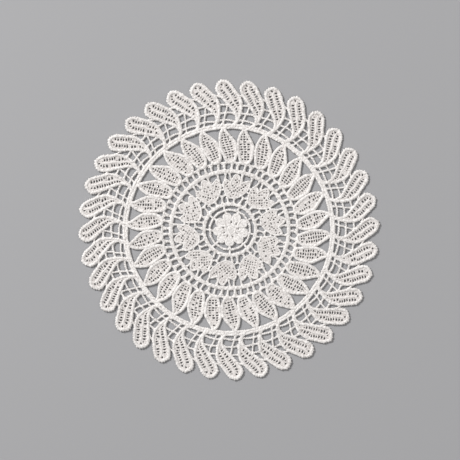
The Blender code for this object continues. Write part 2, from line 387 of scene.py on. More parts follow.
# ------------------------------------------------------------------- pieces
class Piece:
    """Collects tubes and sheets into one mesh."""

    def __init__(self, name):
        self.name = name
        self.places, self.stitches = [], []
        self.quads, self.tubes = [], []       # tubes: rings, sides of each
        self.quad_tags = []
        self.tris, self.patches = [], []      # patches: corners on the map of each set
        self.count = 0

    def add(self, places, stitches):
        start = self.count
        self.places.append(np.asarray(places, np.float32))
        self.stitches.append(np.asarray(stitches, np.float32))
        self.count += len(places)
        return start

    def faces(self, tris, corners):
        """Triangles and where their corners lie on the map, in cells."""
        self.tris.append(tris)
        self.patches.append(np.asarray(corners, float))

    def tube(self, xy, wide, high, level, sides, closed=False, slant=0.0,
             ridge=0.0, scallop=(0.0, 0.0, 1.0), flat=0.8, rough=0.0, tuck=0.0006):
        """A laid cord or strand along xy (metres). wide, high: its half sizes.
        slant: how far the ridges lean along the cord. ridge: depth of the
        grooves between stitches. scallop: left size, right size, pitch.
        tuck: over what length its ends thin and dip under what they meet."""
        n = len(xy)
        wide = np.broadcast_to(np.asarray(wide, float), (n,)).copy()
        high = np.broadcast_to(np.asarray(high, float), (n,)).copy()
        level = np.broadcast_to(np.asarray(level, float), (n,)).copy()
        if closed:
            steps = np.hypot(*(np.roll(xy, -1, 0) - xy).T)
            along = np.r_[0, np.cumsum(steps)]
            total = along[-1]
            along = along[:-1]
        else:
            along = np.r_[0, np.cumsum(np.hypot(*np.diff(xy, axis=0).T))]
            total = along[-1]
        side = sideways(xy, closed)
        if tuck and not closed:
            end = np.clip(np.minimum(along, total - along) / tuck, 0, 1)
            wide *= 0.62 + 0.38 * end
            high *= 0.50 + 0.50 * end
            level -= 0.00010 * (1 - end)
        if rough:
            wide *= 1 + rough * rng.standard_normal(n)
            high *= 1 + rough * 0.7 * rng.standard_normal(n)
        turn = 2 * np.pi * (np.arange(sides) + 0.5) / sides
        c, s = np.cos(turn), np.sin(turn)
        # a satin cord is a little squarer than an ellipse
        c2, s2 = np.sign(c) * np.abs(c) ** flat, np.sign(s) * np.abs(s) ** flat
        shift = slant * c[None] * np.ones(n)[:, None]
        at = along[:, None] + shift
        ext = min(8, n)
        if closed:
            line = np.r_[along[-ext:] - total, along, along[:ext] + total]
            take = np.r_[np.arange(n - ext, n), np.arange(n), np.arange(ext)]
            at = np.clip(at, line[0], line[-1])
        else:
            line, take = along, np.arange(n)
            at = np.clip(at, 0, total)
        look = [np.interp(at, line, v[take]) for v in (xy[:, 0], xy[:, 1], side[:, 0], side[:, 1])]
        # the grooves are as deep on a wide cord's edge as on a narrow one's
        groove, notch = np.ones((n, sides)), np.ones((n, sides))
        if ridge:
            groove[1::2] -= ridge
            notch[1::2] -= ridge * np.minimum(1.0, 0.00060 / wide[1::2])[:, None]
        left, right, pitch = scallop
        edge = np.zeros((n, sides))
        if np.any(left) or np.any(right):
            left = np.broadcast_to(np.asarray(left, float), (n,))[:, None]
            right = np.broadcast_to(np.asarray(right, float), (n,))[:, None]
            count = max(1, round(total / pitch))
            phase = at * count / total
            uneven_size = 0.55 + 0.75 * rng.random(count + 2)
            bump = ((0.5 + 0.5 * np.cos(2 * np.pi * phase)) ** 0.5
                    * uneven_size[np.mod(np.round(phase).astype(int), count)])
            edge = bump * (left * np.clip(c, 0, 1)[None] ** 2 - right * np.clip(-c, 0, 1)[None] ** 2)
        out = wide[:, None] * c2[None] * notch + edge
        up = high[:, None] * s2[None] * groove
        x = look[0] + look[2] * out
        y = look[1] + look[3] * out
        z = np.maximum(level[:, None] + up, 0.00003) + swell(look[0], look[1])
        places = np.stack([x, y, z], 2).reshape(-1, 3)
        tone = rng.random()
        stitches = np.stack([at * 1000, (turn / (2 * np.pi))[None] * np.ones((n, 1)),
                             np.full((n, sides), tone)], 2)
        start = self.add(places, stitches.reshape(-1, 3))
        rings = n if closed else n - 1
        # thread coordinates run on where a cord or its round closes on itself
        tags = np.concatenate([stitches, stitches[:1] + [total * 1000, 0, 0]]) if closed else stitches
        tags = np.concatenate([tags, tags[:, :1] + [0, 1, 0]], 1)
        self.quad_tags.append(np.stack([tags[:rings, :-1], tags[:rings, 1:], tags[1:rings + 1, 1:],
                                        tags[1:rings + 1, :-1]], 2).reshape(-1, 3))
        i = np.arange(rings)[:, None]
        j = np.arange(sides)[None]
        a = start + i * sides + j
        b = start + i * sides + (j + 1) % sides
        d = start + ((i + 1) % n) * sides + j
        e = start + ((i + 1) % n) * sides + (j + 1) % sides
        self.quads.append(np.stack([a, b, e, d], 2).reshape(-1, 4))
        self.tubes.append((rings, sides))
        if not closed:
            k = np.arange(sides)
            round_it = np.c_[np.cos(turn), np.sin(turn)] * 1.2
            for ring, way in ((0, -1), (n - 1, 1)):
                middle = self.add([[xy[ring, 0], xy[ring, 1],
                                    level[ring] + float(swell(xy[ring, 0], xy[ring, 1]))]],
                                  [[along[ring] * 1000, 0.5, tone]])
                p = start + ring * sides + k
                q = start + ring * sides + (k + 1) % sides
                m = np.full(sides, middle)
                corners = np.stack([np.zeros((sides, 2)), round_it, np.roll(round_it, -1, 0)], 1)
                if way == 1:
                    self.faces(np.stack([m, p, q], 1), corners)
                else:
                    self.faces(np.stack([m, q, p], 1), corners[:, [0, 2, 1]])

    def baking_map(self):
        """Every face's own place on a map from 0 to 1: the tubes as strips in
        rows, the patches on shelves above them."""
        total = sum(r * (s + 0.6) for r, s in self.tubes)
        sizes = [np.ptp(p.reshape(-1, 2), axis=0) + 0.6 for p in self.patches]
        total += sum(w * h for w, h in sizes) * 1.15
        width = max([math.sqrt(total) * 1.02] + [w for w, h in sizes])
        corner = np.array([[0, 0], [0, 1], [1, 1], [1, 0]], float)
        quad_uv = [None] * len(self.tubes)
        v = 0.0
        for sides in sorted({s for r, s in self.tubes}):
            u = 0.0
            for index, (rings, tube_sides) in enumerate(self.tubes):
                if tube_sides != sides:
                    continue
                i = u + np.arange(rings)[:, None] + np.zeros((1, sides))
                row = np.floor(i / width)
                i = i - row * width
                # a cell that would hang over the end of a row stays inside it
                j = v + row * (sides + 0.6) + np.arange(sides)[None]
                cell = np.stack([i, j], 2).reshape(-1, 1, 2)
                quad_uv[index] = cell + corner[None]
                rows = math.floor((u + rings + 0.6) / width)
                u = u + rings + 0.6 - rows * width
                v += rows * (sides + 0.6)
            v += sides + 0.6
        tri_uv = [None] * len(self.patches)
        order = sorted(range(len(sizes)), key=lambda i: -sizes[i][1])
        u, shelf = 0.0, 0.0
        for index in order:
            w, h = sizes[index]
            if u + w > width + 1:
                u, v, shelf = 0.0, v + shelf, 0.0
            shelf = max(shelf, h)
            low = self.patches[index].reshape(-1, 2).min(0)
            tri_uv[index] = self.patches[index] - low + np.array([u + 0.3, v + 0.3])
            u += w
        v += shelf
        span = max(width + 1.2, v)
        uv = [q.reshape(-1, 2) for q in quad_uv] + [t.reshape(-1, 2) for t in tri_uv]
        return (np.vstack(uv) + 0.1) / (span + 0.3)

    def build(self, material):
        places = np.vstack(self.places)
        stitches = np.vstack(self.stitches)
        quads = np.vstack(self.quads) if self.quads else np.zeros((0, 4), int)
        tris = np.vstack(self.tris) if self.tris else np.zeros((0, 3), int)
        mesh = bpy.data.meshes.new(self.name)
        mesh.vertices.add(len(places))
        mesh.vertices.foreach_set("co", places.ravel())
        corners = np.r_[quads.ravel(), tris.ravel()].astype(np.int32)
        mesh.loops.add(len(corners))
        mesh.loops.foreach_set("vertex_index", corners)
        sizes = np.r_[np.full(len(quads), 4), np.full(len(tris), 3)].astype(np.int32)
        mesh.polygons.add(len(sizes))
        starts = np.r_[0, np.cumsum(sizes)[:-1]].astype(np.int32)
        mesh.polygons.foreach_set("loop_start", starts)
        mesh.polygons.foreach_set("loop_total", sizes)
        mesh.polygons.foreach_set("use_smooth", np.ones(len(sizes), bool))
        tags = np.vstack(self.quad_tags + [stitches[tris.ravel()]])
        layer = mesh.attributes.new("stitch", "FLOAT_VECTOR", "CORNER")
        layer.data.foreach_set("vector", tags.astype(np.float32).ravel())
        uv = mesh.uv_layers.new(name="OFBake")
        uv.uv.foreach_set("vector", self.baking_map().astype(np.float32).ravel())
        mesh.update(calc_edges=True)
        mesh.validate()
        mesh.materials.append(material)
        piece = bpy.data.objects.new(self.name, mesh)
        bpy.context.scene.collection.objects.link(piece)
        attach(piece, "root")
        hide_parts("lace_doily")
        return piece


def satin(piece, path, half, high=0.00060, level=CORD_LEVEL, sides=9, closed=False,
          slant=0.00035, ridge=0.16, scallop=(0.0, 0.0, 1.0), rough=0.045, lump=0.23,
          step=SATIN_STEP, flare=0.0):
    """A satin-stitched cord along a path in stitches. flare: how much wider it
    is where it runs into the cords at its ends."""
    xy = laid(path)
    xy = evenly(np.vstack([xy, xy[:1]]) if closed else xy, step, closed)
    share = np.linspace(0, 1, len(xy), endpoint=not closed)
    if callable(half):
        half = half(share)
    if callable(scallop[1]):
        scallop = (scallop[0], scallop[1](share), scallop[2])
    wide = np.ones(len(xy)) * half * STITCH
    if flare:
        to_end = np.minimum(share, 1 - share) * len(xy) * step / STITCH
        wide *= 1 + flare * (1 - np.clip((to_end - 1.2) / 2.3, 0, 1)) ** 2
    # the stitched width wanders a little
    run = share * len(xy) * step
    for size, length in ((0.05, 0.0195), (0.03, 0.0082)):
        waves = max(1, round(run[-1] / length))
        wide *= 1 + size * np.sin(2 * np.pi * waves * share + rng.uniform(0, 6))
    # and it stands up in uneven lumps where it is overstitched
    knots = max(3, int(run[-1] / 0.00105))
    heap = 1 + lump * np.clip(rng.standard_normal(knots), -1.6, 1.6)
    if closed:
        heap[-1] = heap[0]
    heap = np.interp(np.linspace(0, knots - 1, len(xy)), np.arange(knots), heap)
    piece.tube(xy, wide * (1 + (heap - 1) * 0.35), high * heap, level, sides, closed,
               slant, ridge, scallop, 0.82, rough)


def strand(piece, path, half, high=None, level=SHEET_LEVEL, sides=6, step=STRAND_STEP, rise=None,
           tuck=0.0004):
    """A thread of the ladders, along a path in stitches."""
    xy = evenly(laid(path), step)
    lift = np.zeros(len(xy))
    if rise is not None:
        lift = rise * np.sin(np.arange(len(xy)) * step / 0.0005 + rng.uniform(0, 6))
    piece.tube(xy, half * STITCH, (high or half * STITCH), level + lift, sides,
               flat=0.95, rough=0.05, tuck=tuck)


def dot(centre, length, width, angle, corners=9):
    """The rim of a small hole."""
    turn = 2 * np.pi * (np.arange(corners) + rng.uniform(0, 1)) / corners
    out = 1 + 0.06 * rng.standard_normal(corners)
    p = np.c_[np.cos(turn) * length / 2 * out, np.sin(turn) * width / 2 * out]
    return turned(p, angle) + centre


def sheet_of(piece, edge, holes, spacing=1.32, half=SHEET_HALF, level=SHEET_LEVEL, reach=0.85,
             rough=0.22):
    """A thin close-stitched ground inside edge, thinner towards its holes."""
    edge = evenly(np.vstack([edge, edge[:1]]), spacing * 0.95)[:-1]
    kept = []
    for hole in holes:
        middle = hole.mean(0)[None]
        if inside(middle, edge)[0] and distance_to(middle, edge, np.roll(edge, -1, 0))[0] > np.ptp(hole, axis=0).max() * 0.55 + 0.25:
            if all(np.hypot(*(middle[0] - other.mean(0))) > 1.35 for other in kept):
                kept.append(hole)
    starts = np.vstack([edge] + kept)
    ends = np.vstack([np.roll(edge, -1, 0)] + [np.roll(h, -1, 0) for h in kept])
    low, high = edge.min(0), edge.max(0)
    gx, gy = np.meshgrid(np.arange(low[0], high[0], spacing), np.arange(low[1], high[1], spacing * 0.87))
    gx = gx + (np.arange(gx.shape[0]) % 2)[:, None] * spacing / 2
    grid = np.c_[gx.ravel(), gy.ravel()] + rng.uniform(-0.12, 0.12, (gx.size, 2)) * spacing
    grid = grid[inside(grid, edge)]
    for hole in kept:
        grid = grid[~inside(grid, hole)]
    grid = grid[distance_to(grid, starts, ends) > spacing * 0.42]
    points = np.vstack([starts, grid])
    links, at = [], 0
    for loop in [edge] + kept:
        links += [(at + i, at + (i + 1) % len(loop)) for i in range(len(loop))]
        at += len(loop)
    found = delaunay_2d_cdt([Vector(p) for p in points], links, [], 0, 1e-5)
    places = np.array([tuple(v) for v in found[0]])
    faces = np.array(found[2], int)
    middles = places[faces].mean(1)
    keep = inside(middles, edge)
    for hole in kept:
        keep &= ~inside(middles, hole)
    faces = faces[keep]
    a, b, c = places[faces[:, 0]], places[faces[:, 1]], places[faces[:, 2]]
    area = (b[:, 0] - a[:, 0]) * (c[:, 1] - a[:, 1]) - (b[:, 1] - a[:, 1]) * (c[:, 0] - a[:, 0])
    faces = faces[np.abs(area) > 1e-9]
    area = area[np.abs(area) > 1e-9]
    faces[area < 0] = faces[area < 0][:, ::-1]
    # the rims are the vertices with an edge in one face only
    pairs = np.sort(np.vstack([faces[:, [0, 1]], faces[:, [1, 2]], faces[:, [2, 0]]]), 1)
    unique, times = np.unique(pairs, axis=0, return_counts=True)
    rim = np.zeros(len(places), bool)
    rim[unique[times == 1].ravel()] = True
    used = np.zeros(len(places), bool)
    used[faces.ravel()] = True
    away = np.full(len(places), 0.0)
    away[~rim] = distance_to(places[~rim], starts, ends)
    thick = half * (0.36 + 0.64 * np.sqrt(np.clip(1 - (1 - np.minimum(away / reach, 1)) ** 2, 0, 1)))
    thick[~rim] *= 1 + rough * np.clip(rng.standard_normal((~rim).sum()), -1.8, 1.8)
    xy = laid(places)
    base = level + swell(xy[:, 0], xy[:, 1])
    tag = np.c_[places * STITCH * 1000, np.full(len(places), rng.random())]
    number = np.full(len(places), -1)
    number[used] = np.arange(used.sum())
    top = piece.add(np.c_[xy[used], (base + thick)[used]], tag[used])
    under = piece.add(np.c_[xy[used], (base - thick)[used]], tag[used])
    piece.faces(number[faces] + top, places[faces])
    piece.faces((number[faces] + under)[:, ::-1], (places[faces] * [-1, 1])[:, ::-1])
    # the walls of the rims; their side of the map is the edge of the cut
    found = np.vstack([faces[:, [0, 1]], faces[:, [1, 2]], faces[:, [2, 0]]])
    key = np.sort(found, 1) @ np.array([len(places), 1])
    once = {k for k, t in zip(unique @ np.array([len(places), 1]), times) if t == 1}
    walls = found[np.isin(key, np.array(sorted(once)))]
    f, g = walls[:, 0], walls[:, 1]
    nf, ng = number[f], number[g]
    run = np.hypot(*(places[g] - places[f]).T)
    x = np.cumsum(run + 0.05) - run
    x, y = x % 24.0, np.floor(x / 24.0) * 0.7
    corners = [np.c_[x, y], np.c_[x + run, y], np.c_[x + run, y + 0.5], np.c_[x, y + 0.5]]
    piece.faces(np.vstack([np.c_[nf + under, ng + under, ng + top], np.c_[nf + under, ng + top, nf + top]]),
                np.vstack([np.stack([corners[0], corners[1], corners[2]], 1),
                           np.stack([corners[0], corners[2], corners[3]], 1)]))


def rotated(points, degrees, about, lean=0.0, size=1.0, move=(0.0, 0.0)):
    """One copy of a motif: slightly leant, sized and moved, then set at its turn."""
    p = (np.asarray(points, float) - about) * size
    return turned(turned(p, lean) + about + np.asarray(move), degrees)


# ============================================================ making the lace
ground = Piece("lace_ground")
paddle_cords = Piece("lace_paddle_cords")
leaf_cords = Piece("lace_leaf_cords")
ring_cords = Piece("lace_ring_cords")
paddle_mesh = Piece("lace_paddle_strands")
leaf_mesh = Piece("lace_leaf_strands")
motif_mesh = Piece("lace_motif_strands")
bars = Piece("lace_bars")
flower = Piece("lace_flower")

# ------------------------------------------------------------------ paddles
stations = np.array(PADDLE_STATIONS)
left_outer, right_outer = polar(stations[:, :2]), polar(stations[:, 2:])
paddle_outer = curve(np.vstack([left_outer, polar([PADDLE_TIP]), right_outer[::-1]]), 0.5)


def smoothed(path, times=6):
    """Evens out small kinks, ends kept."""
    path = path.copy()
    for _ in range(times):
        path[1:-1] = (path[:-2] + 2 * path[1:-1] + path[2:]) / 4
    return path


def inward(path, closed=False):
    """Unit vectors from a path towards its inside."""
    side = sideways(path, closed)
    third = len(path) // 3
    return side if inside((path + side)[third][None], path)[0] else -side


paddle_line = smoothed(paddle_outer + inward(paddle_outer) * (PADDLE_CORD + 0.45))
paddle_sheet = smoothed(paddle_outer + inward(paddle_outer) * 0.9)
ladders = []
for rows_of in PADDLE_LADDERS:
    rows = np.array(rows_of)
    at = polar(rows[:, :2])
    run = np.gradient(at, axis=0)
    run /= np.hypot(run[:, 0], run[:, 1])[:, None]
    ladders.append((rows, at, run))
rib_points = polar(((-0.1, 146.2), (-0.35, 142.3), (-0.95, 139.9), (-1.6, 137.5), (-2.35, 135.5),
                    (-2.95, 133.8), (-3.45, 132.0), (-3.9, 129.6), (-4.7, 127.0), (-5.6, 124.4),
                    (-6.5, 121.6), (-6.7, 117.5), (-6.3, 113.0), (-5.6, 108.0)))
paddle_rib = curve(rib_points, 0.6)
paddle_about = polar([(-4.5, 106.0)])[0]
paddle_dots = np.array(PADDLE_DOTS)
for k in range(PADDLES):
    turn = PADDLE_START + 360 / PADDLES * k
    copy = dict(degrees=turn, about=paddle_about, lean=rng.normal(0, 0.35),
                size=1 + rng.normal(0, 0.004), move=rng.normal(0, 0.12, 2))
    satin(paddle_cords, rotated(paddle_line, **copy), PADDLE_CORD,
          scallop=(0.00014, lambda share: 0.00042 + 0.00032 * np.exp(-((share - 0.51) / 0.13) ** 2), 0.00146),
          slant=0.00034, ridge=0.15)
    holes = []
    for rows, at, run in ladders:
        for (px, py), (rx, ry), row in zip(at, run, rows):
            size = rng.uniform(1.05, 1.36)
            if rng.random() > row[4] + 0.06:
                if rng.random() < 0.5:
                    continue
                size *= 0.6
            centre = np.array([px, py]) + rng.normal(0, 0.14, 2)
            angle = math.degrees(math.atan2(rx, -ry)) + rng.normal(0, 9)
            holes.append(rotated(dot(centre, row[2] * size, row[3] * size, angle), **copy))
        # rungs between the holes
        middle, across = (at[1:] + at[:-1]) / 2, (run[1:] + run[:-1]) / 2
        for (px, py), (rx, ry) in zip(middle, across):
            t = np.linspace(-2.1, 2.1, 6)[:, None] * rng.uniform(0.95, 1.1)
            rung = np.array([px, py]) + t * np.array([-ry, rx]) + rng.normal(0, 0.07, (6, 2))
            strand(paddle_mesh, rotated(rung, **copy), 0.42 * rng.uniform(0.85, 1.15),
                   level=SHEET_LEVEL + 0.00010, step=0.0005)
    for row, (px, py) in zip(paddle_dots, polar(paddle_dots[:, :2])):
        if rng.random() < row[4] + 0.12:
            size = rng.uniform(0.95, 1.25)
            holes.append(rotated(dot(np.array([px, py]) + rng.normal(0, 0.2, 2), row[2] * size, row[3] * size, 30), **copy))
    sheet_of(ground, rotated(paddle_sheet, **copy), holes)
    # the padded rib between the ladders narrows towards the stem
    rail = paddle_rib + sideways(paddle_rib) * (0.16 * np.sin(np.arange(len(paddle_rib)) * 0.55 + k))[:, None]
    satin(paddle_mesh, rotated(rail, **copy), lambda share: np.interp(share, [0, 0.1, 0.4, 0.62, 1], [0.8, 1.25, 1.15, 0.75, 0.7]),
          high=0.00034, level=SHEET_LEVEL + 0.00008, sides=8, slant=0.00030, ridge=0.15,
          rough=0.05, lump=0.21, step=0.00034)

# ------------------------------------------------------------- pointed leaves
leaf_outer = curve(polar(LEAF_EDGE), 0.5)
leaf_side = inward(leaf_outer)
leaf_line = smoothed(leaf_outer + leaf_side * LEAF_CORD, 4)
base, peak = polar([LEAF_BASE])[0], polar([LEAF_TIP])[0]
axis = (peak - base) / np.hypot(*(peak - base))
cross = np.array([axis[1], -axis[0]])      # to the side of smaller turn
leaf_length = np.hypot(*(peak - base))


def leaf_span(height):
    """Inner half widths of a leaf at a height along its axis."""
    local = leaf_outer - base
    along, off = local @ axis, local @ cross
    sides = []
    for keep in (off < np.interp(along, [0, leaf_length], [0, 0]), off >= 0):
        order = np.argsort(along[keep])
        sides.append(np.interp(height, along[keep][order], off[keep][order]))
    return sides


def in_leaf(height, t):
    """A place inside a leaf: height along the axis, t across from -1 to 1."""
    low, high = leaf_span(height)
    low, high = low + 2 * LEAF_CORD * 0.9, high - 2 * LEAF_CORD * 0.9
    off = low + (high - low) * (np.asarray(t) + 1) / 2
    return base + np.outer(height, axis) + np.outer(off, cross)


def leaf_room(height):
    """What the cords leave open at a height: its two ends across the axis."""
    low, high = leaf_span(np.array([height]))
    return float(low[0]) + 1.85 * LEAF_CORD, float(high[0]) - 1.85 * LEAF_CORD


rows = np.arange(4.6, leaf_length - 3.2, LEAF_ROW)
for k in range(LEAVES):
    turn = 360 / LEAVES * k
    copy = dict(degrees=turn, about=peak, lean=rng.normal(0, 0.5),
                size=1 + rng.normal(0, 0.004), move=rng.normal(0, 0.12, 2))
    satin(leaf_cords, rotated(leaf_line, **copy), LEAF_CORD, slant=0.00036, ridge=0.13,
          level=CORD_LEVEL + 0.00002, scallop=(0.00009, 0.00023, 0.00146))
    edge = rotated(smoothed(leaf_outer + leaf_side * 0.5), **copy)
    holes = []
    offset = rng.uniform(-0.5, 0.5)
    # some leaves are stitched more closely than others
    open_share, open_size = rng.uniform(0.68, 1.10), rng.uniform(0.88, 1.10)
    for number, (at, across, along, often) in enumerate(LEAF_COLUMNS):
        for row, height in enumerate(rows + offset):
            low, high = leaf_room(height)
            # every other hole of a row is a large one, and the rows alternate
            large = (row + number) % 2 == 0
            if rng.random() > (often if large else often - 0.20) * open_share:
                continue
            grow = open_size * (rng.uniform(0.98, 1.20) if large else rng.uniform(0.66, 0.98))
            off = float(np.interp(height, LEAF_HEIGHTS, at)) + rng.normal(0, 0.18)
            size = across * grow
            low, high = max(low, off - size / 2), min(high, off + size / 2)
            if high - low < 1.0:
                continue
            centre = base + (height + rng.normal(0, 0.14)) * axis + (low + high) / 2 * cross
            angle = math.degrees(math.atan2(cross[1], cross[0])) + rng.normal(0, 8)
            holes.append(rotated(dot(centre, high - low, along * grow, angle), **copy))
    sheet_of(ground, edge, holes)
    height = np.linspace(3.2, leaf_length - 2.6, 26)
    for at in LEAF_RAILS:
        off = np.interp(height, LEAF_HEIGHTS, at) + 0.14 * np.sin(height * 1.3 + k)
        rail = base + np.outer(height, axis) + np.outer(off, cross)
        strand(leaf_mesh, rotated(rail, **copy), 0.46, level=SHEET_LEVEL + 0.00012)
    for height in np.r_[rows[0] - LEAF_ROW, rows] + offset + LEAF_ROW / 2:
        low, high = leaf_room(height)
        if high - low < 1.0:
            continue
        off = np.linspace(low - 0.6, high + 0.6, 7)
        rung = base + np.outer(height + 0.10 * rng.standard_normal(7), axis) + np.outer(off, cross)
        strand(leaf_mesh, rotated(rung, **copy), 0.42, level=SHEET_LEVEL + 0.00010, rise=0.00005)

# --------------------------------------------------------------- lobed leaves
motif_outer = curve(polar(MOTIF_EDGE), 0.45, closed=True)
motif_side = inward(motif_outer, closed=True)
motif_line = motif_outer + motif_side * MOTIF_CORD
for _ in range(3):
    motif_line = (np.roll(motif_line, 1, 0) + 2 * motif_line + np.roll(motif_line, -1, 0)) / 4
motif_about = polar([(10.0, 43.0)])[0]
motif_rows = np.array(MOTIF_HOLES)
motif_at = polar(motif_rows[:, :2])
for k in range(MOTIFS):
    turn = 360 / MOTIFS * k
    copy = dict(degrees=turn, about=motif_about, lean=rng.normal(0, 0.6),
                size=1 + rng.normal(0, 0.006), move=rng.normal(0, 0.10, 2))
    satin(ring_cords, rotated(motif_line, **copy), MOTIF_CORD, high=0.00046, closed=True,
          level=CORD_LEVEL - 0.00004, slant=0.00030, ridge=0.14, sides=8)
    edge = rotated(motif_outer + motif_side * 0.45, **copy)
    # the fill is a mesh of threads: its holes sit in the cells of a leant grid
    lean = MOTIF_LEAN + rng.normal(0, 2)
    shift = rng.uniform(0, 1, 2)
    cell_of = lambda p: turned(p - motif_about, -lean) / MOTIF_WEAVE + shift
    place_of = lambda c: turned((c - shift) * MOTIF_WEAVE, lean) + motif_about
    taken, holes = {}, []
    for (px, py), row in zip(motif_at, motif_rows):
        if rng.random() < row[4]:
            cell = tuple(np.floor(cell_of(np.array([[px, py]])))[0])
            taken.setdefault(cell, rng.uniform(0.9, 1.15) * row[2:4])
    inner_loop = motif_outer + motif_side * 2.2
    span = cell_of(inner_loop)
    low, high = np.floor(span.min(0)).astype(int), np.ceil(span.max(0)).astype(int)
    for i in range(low[0], high[0] + 1):
        for j in range(low[1], high[1] + 1):
            if (i, j) not in taken and rng.random() < 0.42:
                taken[i, j] = np.array([1.15, 0.95]) * rng.uniform(0.7, 1.35)
    for (i, j), size in taken.items():
        centre = place_of(np.array([[i + 0.5, j + 0.5]]))[0] + rng.normal(0, 0.24, 2)
        if inside(centre[None], inner_loop)[0]:
            holes.append(rotated(dot(centre, min(size[0], 1.95), min(size[1], 1.6), lean + rng.normal(0, 15)), **copy))
    sheet_of(ground, edge, holes, spacing=1.05, half=0.00027)
    for way in (0, 1):
        for line in range(low[way] - 1, high[way] + 2):
            t = np.arange(low[1 - way] - 1, high[1 - way] + 1.01, 0.25)
            c = np.zeros((len(t), 2))
            c[:, way], c[:, 1 - way] = line + 0.10 * np.sin(t * 2.3 + line * 1.7), t
            path = place_of(c)
            within = inside(path, motif_outer + motif_side * 1.3)
            ends = np.flatnonzero(np.diff(np.r_[0, within.astype(int), 0]))
            for a, b in zip(ends[::2], ends[1::2]):
                if b - a >= 5:
                    strand(motif_mesh, rotated(path[a:b], **copy), 0.36, level=SHEET_LEVEL + 0.00012,
                           sides=5, rise=0.00004)
    for half, points in MOTIF_VEINS:
        vein = rotated(curve(polar(points), 0.6), **copy)
        satin(motif_mesh, vein, half, high=0.00036, level=SHEET_LEVEL + 0.00012, sides=8,
              slant=0.0002, ridge=0.14, step=0.00034)

# --------------------------------------------------------------- ring bands
for inner, outer, slant in RING_BANDS:
    radius, half = (inner + outer) / 2, (outer - inner) / 2
    angle = np.linspace(0, 360, 721)[:-1]
    # the widest band is two cords side by side
    lanes = ((radius - half / 2 - 0.02, half / 2 + 0.06), (radius + half / 2 + 0.02, half / 2 + 0.06))
    if radius < 100:
        lanes = ((radius, half),)
    for lane, lane_half in lanes:
        wander = 0.10 * np.sin(np.radians(angle) * 37 + lane) + 0.08 * np.sin(np.radians(angle) * 61)
        circle = polar(np.c_[angle, lane + wander])
        satin(ring_cords, circle, lane_half, high=0.00054, level=CORD_LEVEL - 0.00002,
              sides=10 if radius > 100 else 14, closed=True, slant=slant * STITCH, ridge=0.14,
              rough=0.035, lump=0.27 if radius > 100 else 0.25,
              scallop=(0.00032, 0.00026, 0.00140) if radius > 100 else (0.00023, 0.00012, 0.00130))
    band = [polar(np.c_[angle[::6], np.full(120, r)]) for r in (inner + 0.5, outer - 0.5)]
    count = len(band[0])
    ring_xy = [laid(b) for b in band]
    mid = laid(polar(np.c_[angle[::6], np.full(120, radius)]))
    lines = [(ring_xy[0], 0.0), (mid, SHEET_HALF), (ring_xy[1], 0.0), (mid, -SHEET_HALF)]
    start = ground.count
    for xy, up in lines:
        ground.add(np.c_[xy, SHEET_LEVEL + up + swell(xy[:, 0], xy[:, 1])],
                   np.c_[xy * 1000, np.full(count, 0.5)])
    i = np.arange(count)
    n = (i + 1) % count
    for row, (a, b) in enumerate(((0, 1), (1, 2), (2, 3), (3, 0))):
        quad = np.stack([start + a * count + i, start + a * count + n,
                         start + b * count + n, start + b * count + i], 1)
        at = np.stack([np.c_[i % 40, row + i // 40 * 4.4], np.c_[i % 40 + 1, row + i // 40 * 4.4],
                       np.c_[i % 40 + 1, row + 1 + i // 40 * 4.4], np.c_[i % 40, row + 1 + i // 40 * 4.4]], 1)
        ground.faces(quad[:, [0, 2, 1]], at[:, [0, 2, 1]] * 1.5)
        ground.faces(quad[:, [0, 3, 2]], at[:, [0, 3, 2]] * 1.5)

# ------------------------------------------------- thin cord round the flower
angle = np.linspace(0, 360, 721)[:-1]
circle = polar(np.c_[angle, 19.75 + 0.12 * np.sin(np.radians(angle * 9)) + 0.34 * np.sin(np.radians(angle * 63))])
satin(ring_cords, circle, 0.78, high=0.00046, closed=True, sides=8, slant=0.0, ridge=0.06,
      scallop=(0.00010, 0.00042, 2 * np.pi * 19.8 * STITCH / 63), rough=0.03, step=0.00018)
for direction, _, _ in FLOWER:
    spoke = polar([(direction, 18.6), (direction + 0.6, 20.5), (direction, 22.4), (direction - 0.4, 25.2)])
    satin(ring_cords, curve(spoke, 0.4), 1.15, high=0.00044, level=CORD_LEVEL - 0.00008, sides=8,
          slant=0.0002, ridge=0.12)

# -------------------------------------------------------------------- bars
for repeats, first, rows_of, flare in (
        (PADDLES, PADDLE_START, PADDLE_BARS, 1.0), (LEAVES, 0.0, LEAF_BARS, 0.55),
        (MOTIFS, 0.0, MOTIF_BARS, 0.8)):
    for k in range(repeats):
        for half, wave, points in rows_of:
            p = polar(points) + rng.normal(0, 0.14, (len(points), 2))
            line = curve(p, 0.4)
            if wave:
                run = np.arange(len(line)) * 0.4
                line += sideways(line) * (wave * np.sin(2 * np.pi * run / 2.3 + rng.uniform(0, 6)))[:, None]
            satin(bars, turned(line, first + 360 / repeats * k), half * rng.uniform(0.88, 1.03),
                  high=0.00042, level=0.00060 + rng.uniform(-0.00005, 0.00005), sides=6,
                  slant=0.00022, ridge=0.14, rough=0.035, step=0.00030 if wave else 0.00034,
                  flare=flare if len(line) > 14 else 0.0)
# small webs where the bars between two paddles cross
for k in range(PADDLES):
    for knot_turn, knot_radius in PADDLE_KNOTS:
        at = np.array([[knot_turn + t, knot_radius] for t in (-1.1, -0.5, 0.0, 0.5, 1.1)])
        line = curve(polar(at) + rng.normal(0, 0.10, 2), 0.4)
        satin(bars, turned(line, PADDLE_START + 360 / PADDLES * k),
              lambda share: 0.35 + 1.30 * np.sin(np.pi * share), high=0.00040, level=0.00060,
              sides=8, slant=0.0002, ridge=0.12, step=0.00040)

